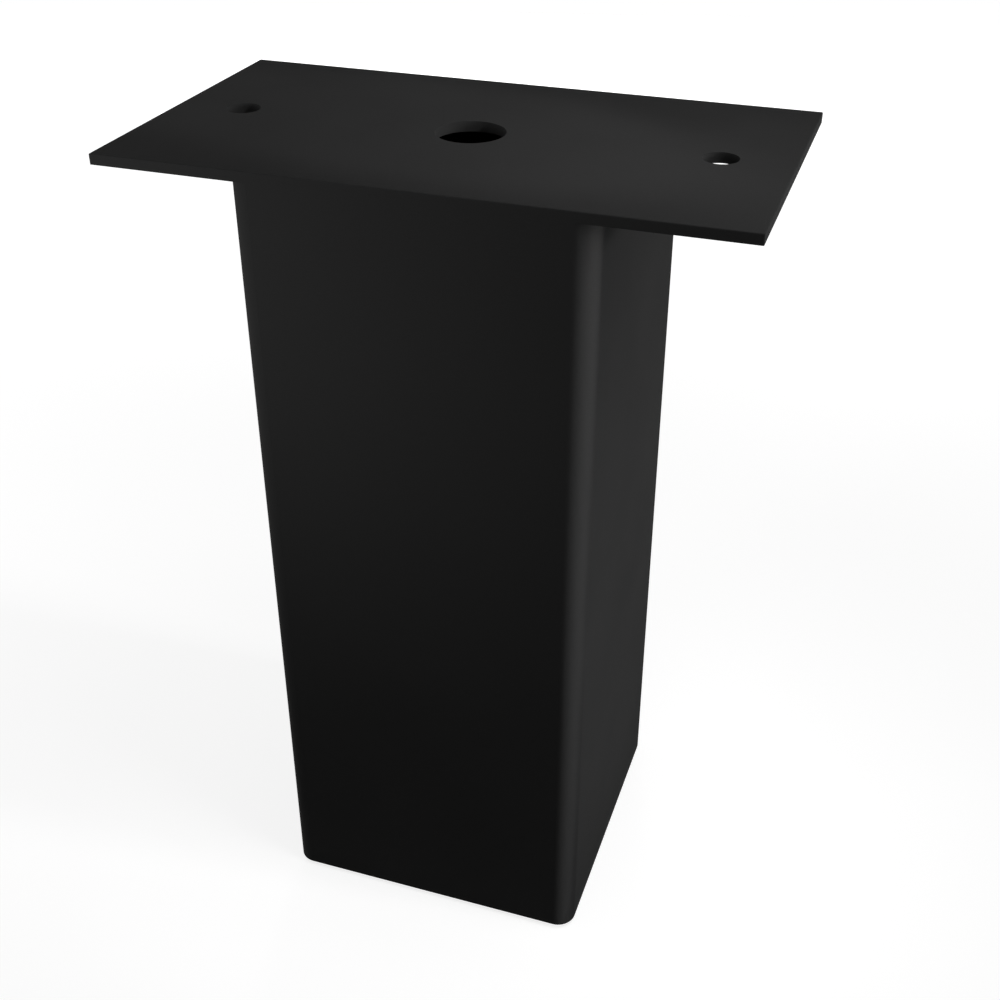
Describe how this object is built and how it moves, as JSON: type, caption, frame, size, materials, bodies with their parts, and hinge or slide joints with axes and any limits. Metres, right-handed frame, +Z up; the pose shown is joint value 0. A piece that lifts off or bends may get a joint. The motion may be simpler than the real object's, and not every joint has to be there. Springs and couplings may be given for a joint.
{
  "type": "square metal table leg",
  "caption": "Square steel tube leg under a rectangular drilled mounting plate, with a plastic foot cap in its lower end, for bolting under a table or a furniture base.",
  "frame": {"origin": "on the floor, under the middle of the foot", "axes": "+Z up from the foot to the mounting plate, +X along the plate's long side, +Y along its short side"},
  "size_m": [0.18, 0.1, 0.2515],
  "materials": {
    "black_powder_coat": "matte black powder coat on steel",
    "black_plastic": "moulded, fine matte grain"
  },
  "bodies": {
    "root": {"square_tube": "black_powder_coat", "mounting_plate": "black_powder_coat", "left_weld_bead": "black_powder_coat", "right_weld_bead": "black_powder_coat", "foot_cap": "black_plastic"}
  },
  "joints": []
}
